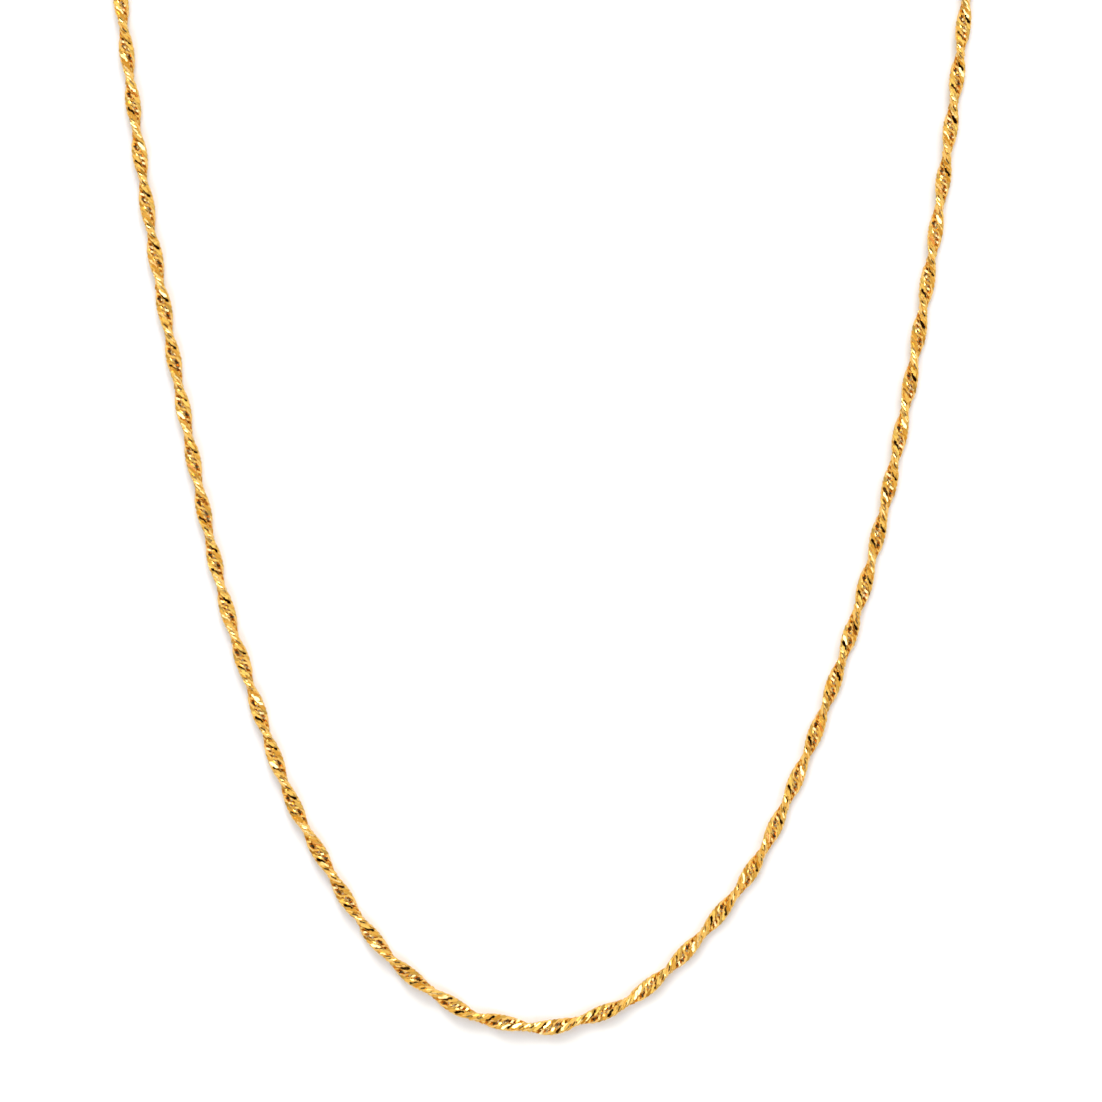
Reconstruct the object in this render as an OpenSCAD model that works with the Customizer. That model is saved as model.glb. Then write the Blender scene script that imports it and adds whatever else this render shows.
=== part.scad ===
// A necklace of singapore chain: a flat band of curb links, twisted along its length.
// It lies flat as a closed loop, with its lowest point towards -Y and its clasp towards +Y.

/* [Chain] */
// Width of the loop, between the middle lines of the chain at its widest
loop_w = 97; // [80:1:110]
// Length of the loop, from its lowest point to the line of the clasp
loop_len = 182; // [160:1:200]
// Width of the flat band, across its two rows of links
chain_w = 1.75; // [1.4:0.05:2.4]
// Thickness of the flat band
chain_t = 0.8; // [0.6:0.05:1.2]
// Length along the chain in which the band makes half a turn
half_turn_len = 5.74; // [4.5:0.02:9]
// Angle between the band's face and straight up at the lowest point
lowest_angle = -28; // [-90:1:90]
// Gap between the two halves of the chain, at the lowest point
half_gap = 0.15; // [0.1:0.01:0.4]

/* [End loops] */
// Wire diameter of the loop that is soldered to each end of the chain
loop_wire_d = 0.45; // [0.35:0.01:0.6]
// Hole of each end loop
loop_hole_d = 1.05; // [0.95:0.01:1.2]
// Length of chain that climbs to the height of the clasp
climb_len = 15; // [8:0.5:30]

/* [Jump rings] */
// Wire diameter of both jump rings
ring_wire_d = 0.5; // [0.4:0.01:0.6]
// Room left in a jump ring's hole beside the two wires that it holds
ring_room = 1.2; // [1.1:0.01:1.6]

/* [Clasp] */
// Outer diameter of the clasp's ring
clasp_d = 6; // [5:0.1:9]
// Tube diameter of the clasp's ring
clasp_wire_d = 1.1; // [0.8:0.02:1.3]
// Wire diameter of the eye that is soldered to the clasp
eye_wire_d = 0.5; // [0.4:0.01:0.6]
// Hole of the eye
eye_hole_d = 1.1; // [1:0.01:1.3]
// Depth to which soldered wires sink into what they are soldered to
solder_depth = 0.1; // [0.05:0.01:0.2]

/* [Fit] */
// Clearance between interlocked rings where they pass closest
link_play = 0.15; // [0.12:0.01:0.25]

/* [Hidden] */
$fn = 48;

// Middle line of the chain from the left end to the right end, as x and y from its lowest point.
ROUTE = [
    [-19, 180.5], [-32, 174], [-41.5, 162.5], [-46.5, 149], [-48.5, 132],
    [-47, 115], [-44, 91.5], [-40, 69], [-36, 50], [-32, 36.5], [-28, 25.5],
    [-24, 18], [-21, 13], [-18, 9], [-15, 6], [-11.5, 3.5], [-8, 1.5], [-4, 0.5],
    [0, 0],
    [3, 0.5], [7.5, 2], [11, 4], [15, 7.5], [19.5, 12.5], [23.5, 18],
    [27, 25], [31.5, 36], [36, 50], [40, 67.5], [44, 91], [47, 114],
    [48.5, 132], [46.5, 149], [41.5, 162.5], [32, 174], [19, 180.5]
];
// Line of the clasp on the same scale as these points, which are stretched to the loop's sizes.
ROUTE_LEN = 182;
// Place of the clasp's middle along x, which centres the row of rings over the loop.
CLASP_X = 1.2;
// Sides of the chain's section, spline steps between two route points, and rings in half a turn.
SIDES = 8;
STEPS = 10;
RINGS_PER_HALF_TURN = 6;

// The flattened octagon just touches the band's width and thickness.
corner = 180 / SIDES;
section = [for (i = [0:SIDES - 1])
    [chain_w / 2 * cos((2 * i + 1) * corner), chain_t / 2 * sin((2 * i + 1) * corner)] / cos(corner)];
// The chain turns within this radius, so its middle line lies this high over the surface.
chain_r = norm(section[0]);

// The clasp lies on the lowest wire of the jump rings, and the rings stand on the surface.
hardware_z = ring_wire_d + link_play + clasp_wire_d / 2;
ring_hole_d = clasp_wire_d + loop_wire_d + ring_room;
ring_r = (ring_hole_d + ring_wire_d) / 2;
ring_z = ring_r + ring_wire_d / 2;
// Half the distance between the two places where a jump ring crosses the height of the clasp.
ring_reach = sqrt(pow(ring_r, 2) - pow(ring_z - hardware_z, 2));

loop_r = (loop_hole_d + loop_wire_d) / 2;
eye_r = (eye_hole_d + eye_wire_d) / 2;
clasp_r = (clasp_d - clasp_wire_d) / 2;
eye_x = CLASP_X - clasp_d / 2 + solder_depth - eye_r;
ring_left_x = eye_x - ring_reach;
loop_left_x = ring_left_x - ring_reach;
// In the right jump ring the clasp's tube and the loop's wire lie side by side.
wires_apart = (clasp_wire_d + loop_wire_d) / 2 + link_play;
ring_right_x = CLASP_X + clasp_r + wires_apart + loop_r - ring_reach;
loop_right_x = ring_right_x + ring_reach;
end_left_x = loop_left_x - loop_r;
end_right_x = loop_right_x + loop_r;

// The origin is the middle of the whole necklace's outline, on the surface.
middle_y = (loop_len + clasp_d / 2 - chain_r) / 2;
clasp_y = loop_len - middle_y;

// A smooth curve runs through the route's points, and its table gives x and y by length.
route_w = max([for (p = ROUTE) p.x]) - min([for (p = ROUTE) p.x]);
stretched = [for (p = ROUTE) [p.x * loop_w / route_w, p.y * loop_len / ROUTE_LEN]];
path = concat([[end_left_x, loop_len]], stretched, [[end_right_x, loop_len]]);
last = len(path) - 1;
function point(i) =
    i < 0 ? 2 * path[0] - path[1]
    : i > last ? 2 * path[last] - path[last - 1]
    : path[i];
function blend(a, b, c, d, t) =
    (2 * b + (c - a) * t + (2 * a - 5 * b + 4 * c - d) * pow(t, 2)
    + (3 * b - a - 3 * c + d) * pow(t, 3)) / 2;
curve = concat(
    [for (i = [0:last - 1], k = [0:STEPS - 1])
        blend(point(i - 1), point(i), point(i + 1), point(i + 2), k / STEPS)],
    [path[last]]);
lengths = [for (i = 0, s = 0;
    i < len(curve);
    s = s + (i < len(curve) - 1 ? norm(curve[i + 1] - curve[i]) : 0), i = i + 1) s];
lowest = search(0, [for (p = path) norm(p)])[0] * STEPS;
table_x = [for (i = [0:len(curve) - 1]) [lengths[i] - lengths[lowest], curve[i].x]];
table_y = [for (i = [0:len(curve) - 1]) [lengths[i] - lengths[lowest], curve[i].y]];
left_len = lengths[lowest];
right_len = lengths[len(curve) - 1] - lengths[lowest];

// Place, direction and turn of the band at the length s, which is 0 at the lowest point.
function flat_place(s) = [lookup(s, table_x), lookup(s, table_y) - middle_y];
function climb(s) = max(0, 1 - (s < 0 ? left_len + s : right_len - s) / climb_len);
function height(s) = chain_r + (hardware_z - chain_r) * (3 - 2 * climb(s)) * pow(climb(s), 2);
function direction(s) =
    let (step = flat_place(min(s + 0.2, right_len)) - flat_place(max(s - 0.2, -left_len)))
    step / norm(step);
function angle(s) = lowest_angle + 180 * s / half_turn_len;

// One ring of points round the band. Left of the chain's direction is towards the loop's inside.
function ring_points(s) =
    let (
        place = flat_place(s),
        along = direction(s),
        inward = [-along.y, along.x, 0],
        up = [0, 0, 1],
        across = inward * cos(angle(s)) - up * sin(angle(s)),
        out = inward * sin(angle(s)) + up * cos(angle(s)))
    [for (c = section) [place.x, place.y, height(s)] + c.x * across + c.y * out];

// A closed solid through rings of points at the lengths from s0 to s1.
module band(s0, s1) {
    n = ceil((s1 - s0) / half_turn_len * RINGS_PER_HALF_TURN);
    points = [for (i = [0:n]) each ring_points(s0 + (s1 - s0) * i / n)];
    walls = [for (i = [0:n - 1], k = [0:SIDES - 1])
        let (
            a = i * SIDES + k,
            b = i * SIDES + (k + 1) % SIDES)
        each [[a, b + SIDES, b], [a, a + SIDES, b + SIDES]]];
    first_end = [for (k = [1:SIDES - 2]) [0, k, k + 1]];
    last_end = [for (k = [1:SIDES - 2]) [n * SIDES, n * SIDES + k + 1, n * SIDES + k]];
    polyhedron(points, concat(walls, first_end, last_end));
}

// A round wire bent to a closed ring, lying flat.
module wire_ring(middle_r, wire_d) {
    rotate_extrude()
        translate([middle_r, 0])
            circle(d = wire_d);
}

module end_loop(x) {
    translate([x, clasp_y, hardware_z])
        wire_ring(loop_r, loop_wire_d);
}

module jump_ring(x) {
    translate([x, clasp_y, ring_z])
        rotate([90, 0, 0])
            wire_ring(ring_r, ring_wire_d);
}

module chain_left() {
    color("goldenrod") {
        band(-left_len, -half_gap / 2);
        end_loop(loop_left_x);
    }
}

module chain_right() {
    color("goldenrod") {
        band(half_gap / 2, right_len);
        end_loop(loop_right_x);
    }
}

module ring_left() {
    color("gold") jump_ring(ring_left_x);
}

module ring_right() {
    color("gold") jump_ring(ring_right_x);
}

module clasp() {
    color("gold") {
        translate([CLASP_X, clasp_y, hardware_z])
            wire_ring(clasp_r, clasp_wire_d);
        translate([eye_x, clasp_y, hardware_z])
            wire_ring(eye_r, eye_wire_d);
    }
}

chain_left();
chain_right();
ring_left();
ring_right();
clasp();
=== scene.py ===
import math
import random

import bmesh
import bpy
from mathutils import Matrix, Vector


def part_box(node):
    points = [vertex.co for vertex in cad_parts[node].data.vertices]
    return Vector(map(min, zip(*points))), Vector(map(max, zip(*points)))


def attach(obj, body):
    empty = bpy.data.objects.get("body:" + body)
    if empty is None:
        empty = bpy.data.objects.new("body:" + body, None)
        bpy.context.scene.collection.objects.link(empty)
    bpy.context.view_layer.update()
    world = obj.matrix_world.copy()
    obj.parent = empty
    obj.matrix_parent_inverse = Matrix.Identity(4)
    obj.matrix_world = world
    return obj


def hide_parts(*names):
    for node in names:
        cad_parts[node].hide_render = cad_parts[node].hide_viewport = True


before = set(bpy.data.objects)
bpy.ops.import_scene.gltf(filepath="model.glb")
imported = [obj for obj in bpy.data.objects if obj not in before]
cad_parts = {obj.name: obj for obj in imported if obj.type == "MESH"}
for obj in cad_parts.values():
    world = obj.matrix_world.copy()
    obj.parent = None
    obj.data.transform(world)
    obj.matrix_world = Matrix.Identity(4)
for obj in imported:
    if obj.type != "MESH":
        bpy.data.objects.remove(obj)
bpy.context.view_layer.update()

# Camera
# The photograph looks straight down on the lower half of the necklace, and its square frame
# is 122.4 mm wide on the table. A long lens keeps both strands as flat as they are there.
MM = 0.001
VIEW_WIDTH = 122.4 * MM
VIEW_MIDDLE = Vector((0.9, -39.1, 0.9)) * MM
LENS = 100
SENSOR = 36
NEAREST_SEEN = 10 * MM

camera = bpy.data.objects.new("camera", bpy.data.cameras.new("camera"))
camera.data.lens = LENS
camera.data.sensor_width = SENSOR
camera.data.clip_start = NEAREST_SEEN
camera.location = VIEW_MIDDLE + Vector((0, 0, VIEW_WIDTH * LENS / SENSOR))
bpy.context.scene.collection.objects.link(camera)
bpy.context.scene.camera = camera

# Line of the chain
# The chain lies on the table in one loop that swings a little from side to side, as links do
# when a necklace is laid down. Each end climbs over its last stretch to the clasp's height.
LOOP_LENGTH = 0.182
ROUTE = [
    (-0.019, 0.1805), (-0.032, 0.174), (-0.0415, 0.1625), (-0.0465, 0.149), (-0.0485, 0.132),
    (-0.047, 0.115), (-0.044, 0.0915), (-0.040, 0.069), (-0.036, 0.050), (-0.032, 0.0365),
    (-0.028, 0.0255), (-0.024, 0.018), (-0.021, 0.013), (-0.018, 0.009), (-0.015, 0.006),
    (-0.0115, 0.0035), (-0.008, 0.0015), (-0.004, 0.0005), (0, 0),
    (0.003, 0.0005), (0.0075, 0.002), (0.011, 0.004), (0.015, 0.0075), (0.0195, 0.0125),
    (0.0235, 0.018), (0.027, 0.025), (0.0315, 0.036), (0.036, 0.050), (0.040, 0.0675),
    (0.044, 0.091), (0.047, 0.114), (0.0485, 0.132), (0.0465, 0.149), (0.0415, 0.1625),
    (0.032, 0.174), (0.019, 0.1805),
]
STEPS = 10
BAND_WIDTH = 1.75 * MM
BAND_THICKNESS = 0.8 * MM
BAND_SIDES = 8
CLIMB = 15 * MM
LOOP_WIRE = 0.45 * MM
LOOP_HOLE = 1.05 * MM

clasp_low, clasp_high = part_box("clasp")
clasp_y = (clasp_low.y + clasp_high.y) / 2
hardware_z = (clasp_low.z + clasp_high.z) / 2
table_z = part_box("chain_left")[0].z
chain_z = table_z + math.hypot(BAND_WIDTH, BAND_THICKNESS * math.tan(math.pi / BAND_SIDES)) / 2


def ring_facts(node):
    """Middle along x of an upright jump ring, and its reach from there at the clasp's height."""
    low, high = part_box(node)
    wire = high.y - low.y
    radius = (high.z - low.z - wire) / 2
    over = (low.z + high.z) / 2 - hardware_z
    return (low.x + high.x) / 2, math.sqrt(radius ** 2 - over ** 2)


loop_radius = (LOOP_HOLE + LOOP_WIRE) / 2
ring_x, ring_reach = ring_facts("ring_left")
loop_left_x = ring_x - ring_reach
ring_x, ring_reach = ring_facts("ring_right")
loop_right_x = ring_x + ring_reach
start = (loop_left_x - loop_radius, LOOP_LENGTH)
finish = (loop_right_x + loop_radius, LOOP_LENGTH)
stops = [Vector((x, y + clasp_y - LOOP_LENGTH, 0)) for x, y in [start, *ROUTE, finish]]
stops = [2 * stops[0] - stops[1], *stops, 2 * stops[-1] - stops[-2]]
lowest = (1 + ROUTE.index((0, 0))) * STEPS


def between(a, b, c, d, t):
    """Point at the share t of the way from b to c, on the smooth curve through a, b, c and d."""
    return (2 * b + (c - a) * t + (2 * a - 5 * b + 4 * c - d) * t ** 2
            + (3 * b - a - 3 * c + d) * t ** 3) / 2


line = [between(*stops[i:i + 4], k / STEPS) for i in range(len(stops) - 3) for k in range(STEPS)]
line.append(stops[-2])
lengths = [0.0]
for before, after in zip(line, line[1:]):
    lengths.append(lengths[-1] + (after - before).length)
lengths = [length - lengths[lowest] for length in lengths]


def flat_place(s):
    """Point of the chain's line on the table, at the length s from its lowest point."""
    after = next((i for i, length in enumerate(lengths) if length >= s and i > 0), len(lengths) - 1)
    share = (s - lengths[after - 1]) / (lengths[after] - lengths[after - 1])
    return line[after - 1].lerp(line[after], share)


def height(s):
    """Height of the chain's middle line over the table's level, at the length s."""
    climb = max(0, 1 - (s - lengths[0] if s < 0 else lengths[-1] - s) / CLIMB)
    return chain_z + (hardware_z - chain_z) * (3 - 2 * climb) * climb ** 2


# Link
# One link is a ring of gold wire, pressed to a long lozenge, sprung into a saddle and twisted
# with the band, so that its four strands cross over and under its neighbours'. A diamond tool
# then slices each strand to one flat mirror, the petal, and trims both edges of the band.

# The link is modelled in millimetres, and is brought to metres when it is laid.
PITCH = 0.59
HALF_TURN = 5.74
LINK_REACH = 1.5
LINK_HALF_WIDTH = 0.7
LOZENGE = 1.1
SADDLE = 0.27
WIRE_SECTION = [(1, 0), (0.7, 1), (-0.7, 1), (-1, 0), (-0.7, -1), (0.7, -1)]
WIRE_HALF_WIDTH = 0.2
WIRE_AT_ENDS = 0.26
WIRE_AT_EDGES = 0.15
LINK_STEPS = 12
SPIN_RADIUS = 10
BEND_STEP = 0.1
PETAL_OFF_MIDDLE = 0.62
PETAL_HEIGHT = 0.29
PETAL_TILT = math.radians(24)
PETAL_LEAN = 0.07
PETAL_SLANT = math.radians(28)
STRAND_LIMIT = -0.3
EDGE_CUT = 0.86
ON_PLANE = 0.00001
SMALLEST_EDGE = 0.004
CREASE = math.radians(25)
CUT_FACE = 0
WIRE_FACE = 1

link = bmesh.new()
section = [link.verts.new((SPIN_RADIUS + across, 0, up)) for across, up in WIRE_SECTION]
rim = [link.edges.new(pair) for pair in zip(section, section[1:] + section[:1])]
bmesh.ops.spin(link, geom=section + rim, cent=(0, 0, 0), axis=(0, 0, 1), angle=math.tau,
               steps=LINK_STEPS, use_merge=True)
bmesh.ops.recalc_face_normals(link, faces=link.faces)


def wire_angles(point):
    """Turn of a point round the link, and round the wire's own section."""
    out = math.hypot(point.x, point.y) - SPIN_RADIUS
    return math.atan2(point.y, point.x), math.atan2(point.z, out)


def near(angle, other):
    """The same angle, counted so that it is less than half a turn from the other one."""
    return other + (angle - other + math.pi) % math.tau - math.pi


# The place along and round the wire is kept, for the streaks that drawing leaves.
wire_place = link.loops.layers.uv.new("wire")
for face in link.faces:
    middle = wire_angles(face.calc_center_median())
    for corner in face.loops:
        angles = wire_angles(corner.vert.co)
        corner[wire_place].uv = [near(angle, other) for angle, other in zip(angles, middle)]


def lozenge(turn):
    """Point of the wire's middle line, seen from above."""
    c, s = math.cos(turn), math.sin(turn)
    return Vector((LINK_REACH * c * abs(c) ** (LOZENGE - 1),
                   LINK_HALF_WIDTH * s * abs(s) ** (LOZENGE - 1), 0))


def twist(x):
    """Turn of the band about its own line, from the link's middle to the place x."""
    return Matrix.Rotation(-math.pi * x / HALF_TURN, 3, "X")


for vert in link.verts:
    turn = wire_angles(vert.co)[0]
    along = (lozenge(turn + BEND_STEP) - lozenge(turn - BEND_STEP)).normalized()
    outward = Vector((along.y, -along.x, 0))
    half_thickness = WIRE_AT_ENDS + (WIRE_AT_EDGES - WIRE_AT_ENDS) * math.sin(turn) ** 2
    across = (math.hypot(vert.co.x, vert.co.y) - SPIN_RADIUS) * WIRE_HALF_WIDTH
    up = vert.co.z * half_thickness - SADDLE * math.sin(2 * turn)
    place = lozenge(turn) + outward * across + Vector((0, 0, up))
    vert.co = twist(place.x) @ place

for face in link.faces:
    face.material_index = WIRE_FACE
    face.smooth = True


def cut(normal, depth, part):
    """Slices off what lies beyond a plane in one part of the link, and closes the cut flat."""
    edges = dict.fromkeys(edge for face in part for edge in face.edges)
    verts = dict.fromkeys(vert for face in part for vert in face.verts)
    sliced = bmesh.ops.bisect_plane(link, geom=[*verts, *edges, *part], dist=ON_PLANE,
                                    plane_co=normal * depth, plane_no=normal, clear_outer=True)
    rim = [piece for piece in sliced["geom_cut"] if isinstance(piece, bmesh.types.BMEdge)]
    for face in bmesh.ops.holes_fill(link, edges=rim, sides=0)["faces"]:
        face.material_index = CUT_FACE
        face.smooth = False


# The petal of the upper front strand is placed on the twisted band, and the other three follow
# from it by half turns of the link about its axes. Each cut leaves the other strands alone.
width_share = PETAL_OFF_MIDDLE / LINK_HALF_WIDTH
middle_x = -LINK_REACH * (1 - width_share ** (2 / LOZENGE)) ** (LOZENGE / 2)
petal = twist(middle_x) @ Vector((0, PETAL_OFF_MIDDLE, PETAL_HEIGHT)) + Vector((middle_x, 0, 0))
facing = twist(middle_x) @ Vector((0, math.sin(PETAL_TILT), math.cos(PETAL_TILT)))
facing = (facing + Vector((PETAL_LEAN, 0, 0))).normalized()
for side in (1, -1):
    for front in (1, -1):
        strand = [face for face in link.faces
                  if face.calc_center_median().x * side * front < 0
                  and face.calc_center_median().y * side > STRAND_LIMIT]
        half_turned = Vector((side * front, side, front))
        cut(facing * half_turned, facing.dot(petal), strand)
for side in (1, -1):
    cut(Vector((0, side, 0)), EDGE_CUT, link.faces[:])
bmesh.ops.remove_doubles(link, verts=link.verts, dist=SMALLEST_EDGE)
bmesh.ops.recalc_face_normals(link, faces=link.faces)
for face in link.faces:
    if face.material_index == CUT_FACE:
        slant = Matrix.Rotation(math.copysign(PETAL_SLANT, -face.normal.z), 2)
        for corner in face.loops:
            corner[wire_place].uv = slant @ corner.vert.co.xy
for edge in link.edges:
    edge.smooth = edge.calc_face_angle(0) < CREASE

link_shape = bpy.data.meshes.new("link")
link.to_mesh(link_shape)
link.free()


# Gold of the chain
# Yellow gold. Each petal is a clean mirror with the fine lines of the diamond tool's pass, and
# the wire between the petals keeps the softer shine and the long streaks of its drawing.
CUT_TONES = [(0.83, 0.49, 0.115, 1), (0.85, 0.545, 0.165, 1)]
WIRE_TONES = [(0.83, 0.5, 0.13, 1), (0.86, 0.57, 0.19, 1)]
CUT_ROUGHNESS = 0.06
WIRE_ROUGHNESS = 0.17
CUT_STREAKS = (1.2, 6, 1)
WIRE_STREAKS = (1.5, 3, 1)
CUT_STREAK_DEPTH = 0.0015 * MM
WIRE_STREAK_DEPTH = 0.002 * MM
CLEANEST = 0.6
DULLEST = 1.5
LINK_SHIFT = (1.7, 2.3, 3.1)


def gold(name, tones, roughness, streaks, streak_depth, coordinates):
    """Gold with streaks in its tone, shine and height, streaks being their scale each way."""
    material = bpy.data.materials.new(name)
    material.use_nodes = True
    tree = material.node_tree
    shader = tree.nodes["Principled BSDF"]
    shader.inputs["Metallic"].default_value = 1

    mapping = tree.nodes.new("ShaderNodeMapping")
    mapping.inputs["Scale"].default_value = streaks
    tree.links.new(coordinates(tree), mapping.inputs["Vector"])
    lines = tree.nodes.new("ShaderNodeTexNoise")
    lines.inputs["Scale"].default_value = 1
    lines.inputs["Detail"].default_value = 3
    tree.links.new(mapping.outputs["Vector"], lines.inputs["Vector"])

    colour = tree.nodes.new("ShaderNodeMix")
    colour.data_type = "RGBA"
    colour.inputs["A"].default_value, colour.inputs["B"].default_value = tones
    tree.links.new(lines.outputs["Fac"], colour.inputs["Factor"])
    tree.links.new(colour.outputs["Result"], shader.inputs["Base Color"])

    dull = tree.nodes.new("ShaderNodeMapRange")
    dull.inputs["To Min"].default_value = roughness * CLEANEST
    dull.inputs["To Max"].default_value = roughness * DULLEST
    tree.links.new(lines.outputs["Fac"], dull.inputs["Value"])
    tree.links.new(dull.outputs["Result"], shader.inputs["Roughness"])

    bump = tree.nodes.new("ShaderNodeBump")
    bump.inputs["Strength"].default_value = 1
    bump.inputs["Distance"].default_value = streak_depth
    tree.links.new(lines.outputs["Fac"], bump.inputs["Height"])
    tree.links.new(bump.outputs["Normal"], shader.inputs["Normal"])
    return material


def wire_coordinates(tree):
    """Place on the wire, moved on by each link's own number so that no two links match."""
    uv = tree.nodes.new("ShaderNodeUVMap")
    uv.uv_map = "wire"
    number = tree.nodes.new("ShaderNodeAttribute")
    number.attribute_name = "link_number"
    shift = tree.nodes.new("ShaderNodeVectorMath")
    shift.operation = "MULTIPLY_ADD"
    shift.inputs[1].default_value = LINK_SHIFT
    tree.links.new(number.outputs["Vector"], shift.inputs[0])
    tree.links.new(uv.outputs["UV"], shift.inputs[2])
    return shift.outputs["Vector"]


cut_gold = gold("diamond_cut_gold", CUT_TONES, CUT_ROUGHNESS, CUT_STREAKS,
                CUT_STREAK_DEPTH, wire_coordinates)
wire_gold = gold("drawn_gold", WIRE_TONES, WIRE_ROUGHNESS, WIRE_STREAKS,
                 WIRE_STREAK_DEPTH, wire_coordinates)

# Links
# The gold links are joined to a flat band, which is then twisted to the left, half a turn every
# ten links or so. No two lie quite alike, so each is turned a little, and only some petals flash.
LOWEST_ANGLE = math.radians(-28)
END_LINK = 1.45 * MM
DIRECTION_STEP = 0.2 * MM
LOOSE_TURN = math.radians(3)
LOOSE_TILT = math.radians(1.5)
LOOSE_SEED = 11
UP = Vector((0, 0, 1))

chance = random.Random(LOOSE_SEED)
run = lengths[-1] - lengths[0] - 2 * END_LINK
links = 1 + round(run / (PITCH * MM))


def link_place(number):
    """Matrix that puts one link, counted from the left end, in its place and at its turn."""
    s = lengths[0] + END_LINK + run * number / (links - 1)
    ahead = flat_place(min(s + DIRECTION_STEP, lengths[-1]))
    along = (ahead - flat_place(max(s - DIRECTION_STEP, lengths[0]))).normalized()
    inward = UP.cross(along)
    angle = LOWEST_ANGLE + math.pi * s / (HALF_TURN * MM) + chance.gauss(0, LOOSE_TURN)
    across = inward * math.cos(angle) - UP * math.sin(angle)
    out = inward * math.sin(angle) + UP * math.cos(angle)
    turn = Matrix((along, across, out)).transposed().to_4x4()
    tilt = Matrix.Rotation(chance.gauss(0, LOOSE_TILT), 4, "Y")
    place = flat_place(s) + UP * height(s)
    return s, Matrix.Translation(place) @ turn @ tilt @ Matrix.Scale(MM, 4)


halves = {"links_left": bmesh.new(), "links_right": bmesh.new()}
for number in range(links):
    s, place = link_place(number)
    laid = link_shape.copy()
    laid.transform(place)
    own = laid.attributes.new("link_number", "FLOAT", "POINT")
    own.data.foreach_set("value", [float(number)] * len(laid.vertices))
    halves["links_left" if s < 0 else "links_right"].from_mesh(laid)
    bpy.data.meshes.remove(laid)

for name, node in (("links_left", "chain_left"), ("links_right", "chain_right")):
    mesh = bpy.data.meshes.new(name)
    halves[name].to_mesh(mesh)
    halves[name].free()
    mesh.materials.append(cut_gold)
    mesh.materials.append(wire_gold)
    half = bpy.data.objects.new(name, mesh)
    bpy.context.scene.collection.objects.link(half)
    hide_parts(node)
    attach(half, "root")

# End loops
# A small ring of round gold wire is soldered to the last link at each end of the chain. The
# solder fills the corner between the two, as a smooth bead that the polishing has thinned.
RING_STEPS = 48
WIRE_STEPS = 16
BEAD_SIZE = Vector((0.34, 0.3, 0.26)) * MM
BEAD_OUT = 0.1 * MM
BEAD_COLUMNS = 16
BEAD_ROWS = 10
RING_ROUGHNESS = 0.12
RING_MARKS = (900, 900, 5000)
RING_MARK_DEPTH = 0.003 * MM


def object_coordinates(tree):
    """The piece's own coordinates, in metres."""
    return tree.nodes.new("ShaderNodeTexCoord").outputs["Object"]


ring_gold = gold("polished_gold", WIRE_TONES, RING_ROUGHNESS, RING_MARKS,
                 RING_MARK_DEPTH, object_coordinates)

for side, loop_x in (("left", loop_left_x), ("right", loop_right_x)):
    loop = bmesh.new()
    wire = bmesh.ops.create_circle(loop, segments=WIRE_STEPS, radius=LOOP_WIRE / 2)["verts"]
    bmesh.ops.rotate(loop, verts=wire, matrix=Matrix.Rotation(math.pi / 2, 3, "X"))
    bmesh.ops.translate(loop, verts=wire, vec=(loop_radius, 0, 0))
    bmesh.ops.spin(loop, geom=loop.verts[:] + loop.edges[:], cent=(0, 0, 0), axis=(0, 0, 1),
                   angle=math.tau, steps=RING_STEPS, use_merge=True)
    outward = -1 if side == "left" else 1
    bead_place = Matrix.Translation((outward * (loop_radius + BEAD_OUT), 0, 0))
    bmesh.ops.create_uvsphere(loop, u_segments=BEAD_COLUMNS, v_segments=BEAD_ROWS, radius=1,
                              matrix=bead_place @ Matrix.Diagonal((*BEAD_SIZE, 1)))
    bmesh.ops.translate(loop, verts=loop.verts, vec=(loop_x, clasp_y, hardware_z))
    bmesh.ops.recalc_face_normals(loop, faces=loop.faces)
    for face in loop.faces:
        face.smooth = True
    mesh = bpy.data.meshes.new(f"end_loop_{side}")
    loop.to_mesh(mesh)
    loop.free()
    mesh.materials.append(ring_gold)
    end_loop = bpy.data.objects.new(f"end_loop_{side}", mesh)
    bpy.context.scene.collection.objects.link(end_loop)
    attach(end_loop, "root")

# Jump rings and clasp
# The two jump rings and the plain ring clasp with its eye are polished wire, closed by solder.
# They keep their shapes from the model, and have the end loops' gold with its fine marks.
for node in ("ring_left", "ring_right", "clasp"):
    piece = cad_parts[node]
    piece.data.materials.clear()
    piece.data.materials.append(ring_gold)

# Table
# The necklace lies on a matt white sheet of board with a faint tooth, which the light washes
# out to white, apart from the soft shadow that gathers beside the chain.
TABLE_SIZE = 4
BOARD_TONES = [(0.88, 0.88, 0.88, 1), (0.9, 0.9, 0.9, 1)]
BOARD_ROUGHNESS = 0.8
BOARD_SHEEN = 0.2
TOOTH = 900

table = bmesh.new()
bmesh.ops.create_grid(table, x_segments=1, y_segments=1, size=TABLE_SIZE / 2)
bmesh.ops.translate(table, verts=table.verts, vec=(0, 0, table_z))
mesh = bpy.data.meshes.new("table")
table.to_mesh(mesh)
table.free()
table = bpy.data.objects.new("table", mesh)
bpy.context.scene.collection.objects.link(table)

board = bpy.data.materials.new("white_board")
board.use_nodes = True
tree = board.node_tree
shader = tree.nodes["Principled BSDF"]
shader.inputs["Roughness"].default_value = BOARD_ROUGHNESS
shader.inputs["Specular IOR Level"].default_value = BOARD_SHEEN
tooth = tree.nodes.new("ShaderNodeTexNoise")
tooth.inputs["Scale"].default_value = TOOTH
tree.links.new(tree.nodes.new("ShaderNodeTexCoord").outputs["Object"], tooth.inputs["Vector"])
white = tree.nodes.new("ShaderNodeMix")
white.data_type = "RGBA"
white.inputs["A"].default_value, white.inputs["B"].default_value = BOARD_TONES
tree.links.new(tooth.outputs["Fac"], white.inputs["Factor"])
tree.links.new(white.outputs["Result"], shader.inputs["Base Color"])
mesh.materials.append(board)

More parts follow.
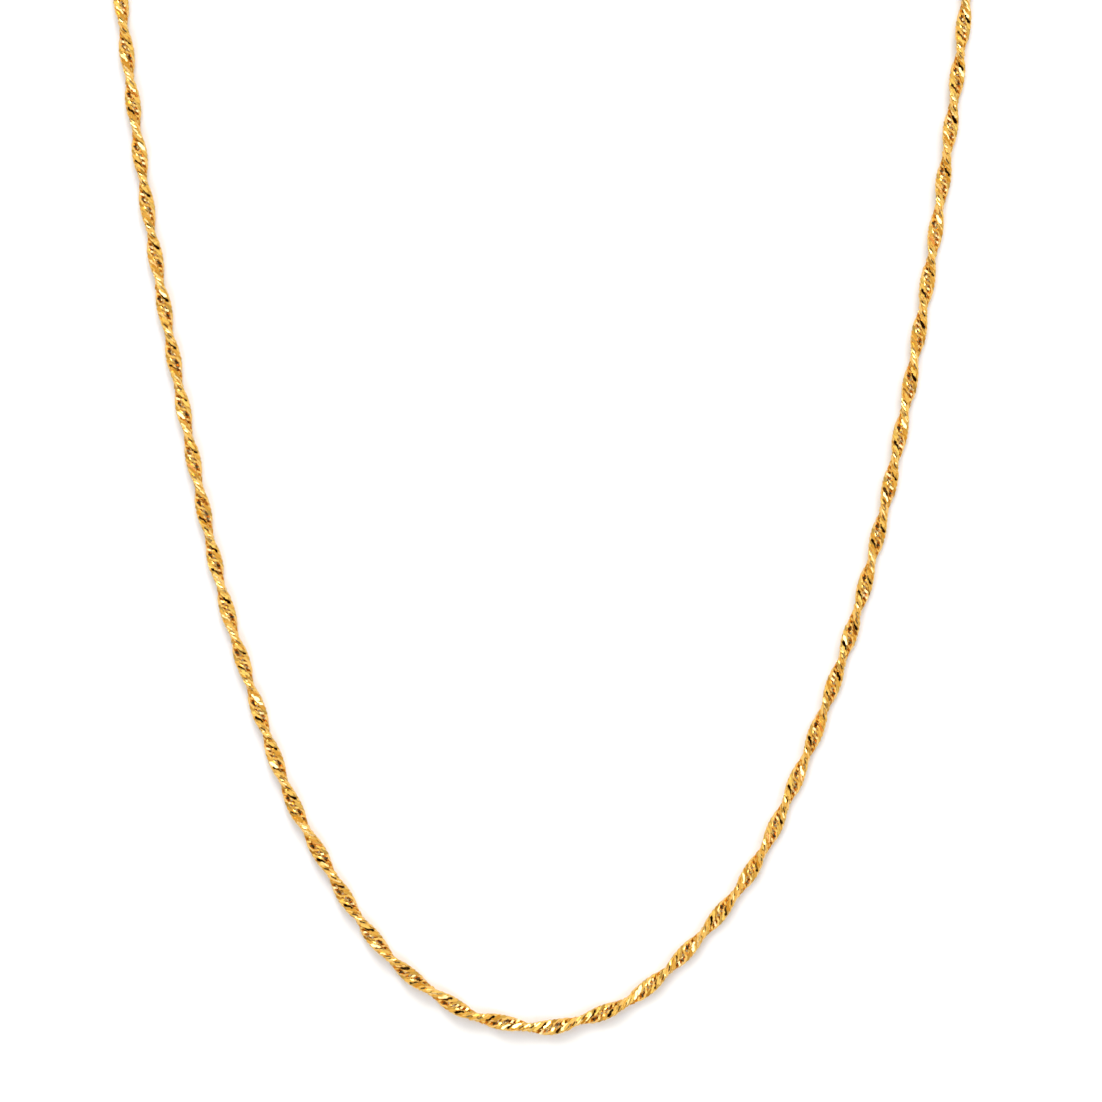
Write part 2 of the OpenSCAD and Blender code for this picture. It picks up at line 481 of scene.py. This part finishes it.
# Light
# A tent of white cloth in soft folds lights the necklace, with one large lamp beyond the clasp.
# The camera looks in through a dark hole, so petals that face it turn black. A thin brown rim
# and a bright, cool ring surround the hole, and petals that face the ring flash white.
LAMP_STRENGTH = 1.7
LAMP_SPREAD = math.radians(28)
LAMP_FROM = Vector((0, 1, 0.85))
DARK_FOLD = (0.82, 0.56, 0.18, 1)
BRIGHT_FOLD = (1.4, 1.46, 1.25, 1)
FOLDS = 3.5
FOLD_RANGE = (0.35, 0.65)
HORIZON_SHARE = 0.4
HORIZON_TOP = 0.6
SOFT_EDGE = 1
COOL_RING = (25, (2.5, 3.5, 6.2, 1))
BROWN_RIM = (19.5, (1.0, 0.45, 0.08, 1))
DARK_HOLE = (17.5, (0.01, 0.003, 0, 1))

lamp = bpy.data.objects.new("lamp", bpy.data.lights.new("lamp", "SUN"))
lamp.data.energy = LAMP_STRENGTH
lamp.data.angle = LAMP_SPREAD
lamp.rotation_euler = LAMP_FROM.to_track_quat("Z", "Y").to_euler()
bpy.context.scene.collection.objects.link(lamp)

tent = bpy.data.worlds.new("tent")
bpy.context.scene.world = tent
tent.use_nodes = True
tree = tent.node_tree
towards = tree.nodes.new("ShaderNodeTexCoord").outputs["Generated"]
folds = tree.nodes.new("ShaderNodeTexNoise")
folds.inputs["Scale"].default_value = FOLDS
folds.inputs["Detail"].default_value = 1
tree.links.new(towards, folds.inputs["Vector"])
spread = tree.nodes.new("ShaderNodeMapRange")
spread.inputs["From Min"].default_value, spread.inputs["From Max"].default_value = FOLD_RANGE
tree.links.new(folds.outputs["Fac"], spread.inputs["Value"])
cloth = tree.nodes.new("ShaderNodeMix")
cloth.data_type = "RGBA"
cloth.inputs["A"].default_value = DARK_FOLD
cloth.inputs["B"].default_value = BRIGHT_FOLD
tree.links.new(spread.outputs["Result"], cloth.inputs["Factor"])
upwards = tree.nodes.new("ShaderNodeSeparateXYZ")
tree.links.new(towards, upwards.inputs["Vector"])
horizon = tree.nodes.new("ShaderNodeMapRange")
horizon.inputs["From Max"].default_value = HORIZON_TOP
horizon.inputs["To Min"].default_value = HORIZON_SHARE
tree.links.new(upwards.outputs["Z"], horizon.inputs["Value"])
shaded = tree.nodes.new("ShaderNodeVectorMath")
shaded.operation = "SCALE"
tree.links.new(cloth.outputs["Result"], shaded.inputs[0])
tree.links.new(horizon.outputs["Result"], shaded.inputs["Scale"])
seen = shaded.outputs["Vector"]
for half_angle, light in (COOL_RING, BROWN_RIM, DARK_HOLE):
    inside = tree.nodes.new("ShaderNodeMapRange")
    inside.interpolation_type = "SMOOTHSTEP"
    inside.inputs["From Min"].default_value = math.cos(math.radians(half_angle + SOFT_EDGE))
    inside.inputs["From Max"].default_value = math.cos(math.radians(half_angle))
    tree.links.new(upwards.outputs["Z"], inside.inputs["Value"])
    disc = tree.nodes.new("ShaderNodeMix")
    disc.data_type = "RGBA"
    tree.links.new(inside.outputs["Result"], disc.inputs["Factor"])
    tree.links.new(seen, disc.inputs["A"])
    disc.inputs["B"].default_value = light
    seen = disc.outputs["Result"]
tree.links.new(seen, tree.nodes["Background"].inputs["Color"])
bpy.context.scene.view_settings.view_transform = "Standard"
